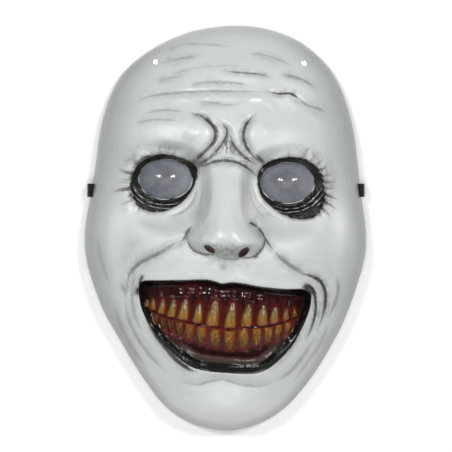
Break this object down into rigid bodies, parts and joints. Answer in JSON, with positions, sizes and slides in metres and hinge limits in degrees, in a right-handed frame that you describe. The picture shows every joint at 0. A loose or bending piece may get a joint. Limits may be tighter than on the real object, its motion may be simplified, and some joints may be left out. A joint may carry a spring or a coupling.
{
  "type": "plastic horror mask",
  "caption": "Full-face moulded plastic monster mask with a wide toothed grin, domed smoky eye lenses and an elastic head strap, lying face up.",
  "frame": {"origin": "on the ground under the middle of the mask, which lies face up on its rim", "axes": "+X to the viewer's right across the face, +Y towards the crown of the forehead, +Z the way the face looks"},
  "size_m": [0.1798, 0.2585, 0.087],
  "materials": {
    "face_plastic": "glossy white moulded plastic with airbrushed black, grey, red and amber paint",
    "lens_plastic": "clear smoky grey plastic, polished",
    "strap_elastic": "black woven elastic"
  },
  "bodies": {
    "root": {"mask_shell": "face_plastic", "eye_lens_left": "lens_plastic", "eye_lens_right": "lens_plastic", "elastic_strap": "strap_elastic", "strap_end_left": "strap_elastic", "strap_end_right": "strap_elastic"}
  },
  "joints": []
}
